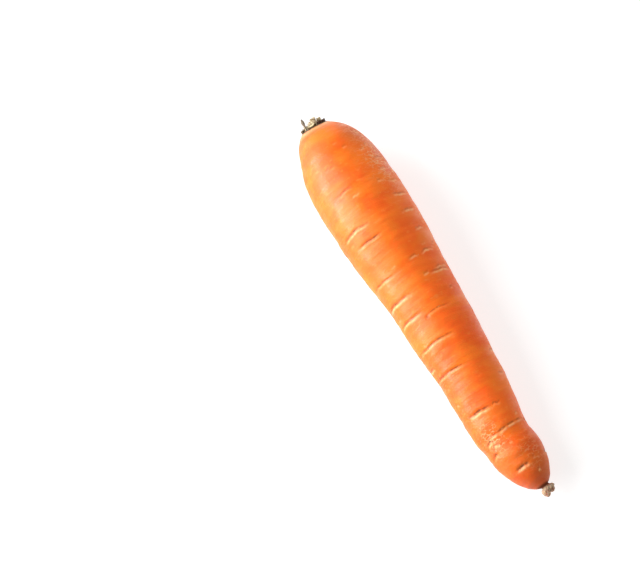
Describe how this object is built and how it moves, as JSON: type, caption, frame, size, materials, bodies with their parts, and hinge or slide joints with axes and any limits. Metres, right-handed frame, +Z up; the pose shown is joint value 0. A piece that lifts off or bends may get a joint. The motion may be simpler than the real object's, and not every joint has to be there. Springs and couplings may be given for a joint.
{
  "type": "carrot",
  "caption": "Topped carrot lying on its side: blunt tapering root with a dried tail, and cut and torn leaf stalks on its crown.",
  "frame": {"origin": "centre of the box in X and Y, on the surface that the carrot rests on", "axes": "+X from the crown along the root to its tail, +Z up, the carrot lying on its side"},
  "size_m": [0.183, 0.0354, 0.0347],
  "materials": {
    "root_skin": "satin",
    "dry_scale": "matte",
    "cut_stalk": "matte"
  },
  "bodies": {
    "root": {"taproot": "root_skin", "dry_leaf_scale_1": "dry_scale", "dry_leaf_scale_2": "dry_scale", "dry_leaf_scale_3": "dry_scale", "dry_leaf_scale_4": "dry_scale", "dry_leaf_scale_5": "dry_scale", "dry_leaf_scale_6": "dry_scale", "torn_leaf_stalk": "dry_scale", "leaf_stalk_1": "cut_stalk", "leaf_stalk_2": "cut_stalk", "leaf_stalk_3": "cut_stalk", "leaf_stalk_4": "cut_stalk", "leaf_stalk_5": "cut_stalk", "young_leaf_stalk_1": "cut_stalk", "young_leaf_stalk_2": "cut_stalk", "young_leaf_stalk_3": "cut_stalk"}
  },
  "joints": []
}
